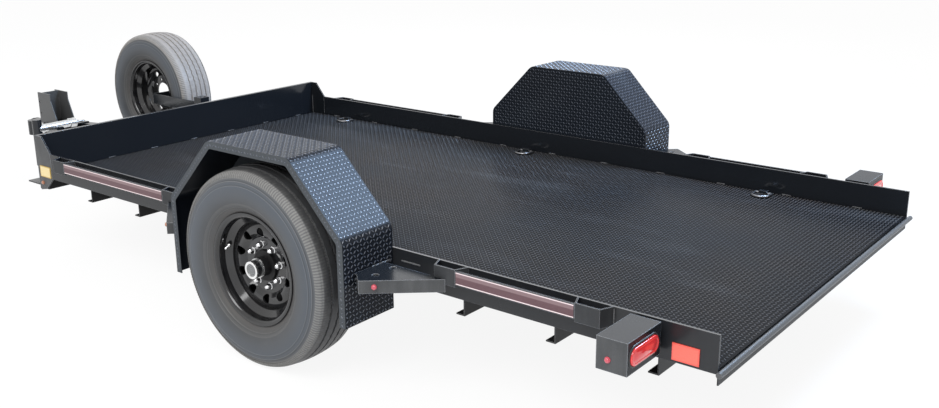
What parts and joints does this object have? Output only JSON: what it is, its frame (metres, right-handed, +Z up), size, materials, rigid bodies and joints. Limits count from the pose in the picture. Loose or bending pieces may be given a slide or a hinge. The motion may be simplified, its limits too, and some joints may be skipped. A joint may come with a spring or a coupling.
{
  "type": "tilt trailer",
  "caption": "Tilt deck trailer with low steel walls, folded tread plate fenders, spare wheel, side jack and ball coupler.",
  "frame": {"origin": "centre of the bounding box at ground level, under the middle of the trailer's whole length", "axes": "+X forward towards the coupler, +Y to the left, +Z up"},
  "size_m": [5.455, 2.448, 0.8818],
  "materials": {
    "black_paint": "semi-gloss",
    "tread_plate": "semi-gloss, raised lug pattern",
    "tyre_rubber": "matt",
    "rim_paint": "gloss",
    "cast_drum": "rough",
    "cap_chrome": "polished",
    "zinc_plate": "zinc plated",
    "black_rubber": "matt",
    "red_lens": "clear moulded",
    "amber_lens": "clear moulded"
  },
  "bodies": {
    "root": {"chassis_rail_left": "black_paint", "chassis_rail_right": "black_paint", "tongue_member_left": "black_paint", "tongue_member_right": "black_paint", "chassis_cross_tubes": "black_paint", "rest_pads": "black_rubber", "axle_tube": "black_paint", "torsion_arms": "black_paint", "axle_brackets": "black_paint", "tongue_plates": "black_paint", "coupler_post": "black_paint", "coupler": "black_paint", "coupler_latch": "zinc_plate", "jack_pipe": "zinc_plate", "jack_tube": "black_paint", "jack_foot": "zinc_plate", "spare_bracket": "black_paint", "spare_rim": "rim_paint", "spare_tyre": "tyre_rubber"},
    "deck": {"deck_plate": "tread_plate", "deck_cross_members": "black_paint", "rear_angle": "black_paint", "rear_rod": "black_paint", "side_wall_left": "black_paint", "side_wall_right": "black_paint", "front_wall": "black_paint", "end_plates": "black_paint", "stake_pockets_left": "black_paint", "stake_pockets_right": "black_paint", "rub_rails": "black_paint", "fender_left": "tread_plate", "fender_right": "tread_plate", "fender_panels": "tread_plate", "fender_braces": "tread_plate", "tail_boxes": "black_paint", "lamp_grommets": "black_rubber", "tail_lamps": "red_lens", "red_markers": "red_lens", "amber_markers": "amber_lens", "red_reflectors": "red_lens", "amber_reflectors": "amber_lens", "ring_straps": "black_paint", "pivot_ears": "black_paint", "pivot_pins": "zinc_plate"},
    "wheel_left": {"tyre_left": "tyre_rubber", "rim_left": "rim_paint", "hub_left": "cast_drum", "hub_cap_left": "cap_chrome"},
    "wheel_right": {"tyre_right": "tyre_rubber", "rim_right": "rim_paint", "hub_right": "cast_drum", "hub_cap_right": "cap_chrome"},
    "ring_rear_left": {"ring_rear_left": "zinc_plate"},
    "ring_rear_right": {"ring_rear_right": "zinc_plate"},
    "ring_middle_left": {"ring_middle_left": "zinc_plate"},
    "ring_middle_right": {"ring_middle_right": "zinc_plate"},
    "ring_front_left": {"ring_front_left": "zinc_plate"},
    "ring_front_right": {"ring_front_right": "zinc_plate"}
  },
  "joints": [
    {"name": "deck_tilt", "type": "hinge", "parent": "root", "child": "deck", "pos_m": [-1.2075, 0, 0.258], "axis": [0, -1, 0], "range_deg": [0, 14.3]},
    {"name": "wheel_left_spin", "type": "hinge", "parent": "root", "child": "wheel_left", "pos_m": [-0.9475, 1.105, 0.391], "axis": [0, 1, 0], "continuous": true},
    {"name": "wheel_right_spin", "type": "hinge", "parent": "root", "child": "wheel_right", "pos_m": [-0.9475, -1.105, 0.391], "axis": [0, 1, 0], "continuous": true},
    {"name": "ring_rear_left_lift", "type": "hinge", "parent": "deck", "child": "ring_rear_left", "pos_m": [-2.0825, 0.874, 0.4068], "axis": [-1, 0, 0], "range_deg": [0, 125]},
    {"name": "ring_rear_right_lift", "type": "hinge", "parent": "deck", "child": "ring_rear_right", "pos_m": [-2.0825, -0.874, 0.4068], "axis": [1, 0, 0], "range_deg": [0, 125]},
    {"name": "ring_middle_left_lift", "type": "hinge", "parent": "deck", "child": "ring_middle_left", "pos_m": [-0.7425, 0.874, 0.4068], "axis": [-1, 0, 0], "range_deg": [0, 125]},
    {"name": "ring_middle_right_lift", "type": "hinge", "parent": "deck", "child": "ring_middle_right", "pos_m": [-0.7425, -0.874, 0.4068], "axis": [1, 0, 0], "range_deg": [0, 125]},
    {"name": "ring_front_left_lift", "type": "hinge", "parent": "deck", "child": "ring_front_left", "pos_m": [0.6025, 0.874, 0.4068], "axis": [-1, 0, 0], "range_deg": [0, 125]},
    {"name": "ring_front_right_lift", "type": "hinge", "parent": "deck", "child": "ring_front_right", "pos_m": [0.6025, -0.874, 0.4068], "axis": [1, 0, 0], "range_deg": [0, 125]}
  ]
}
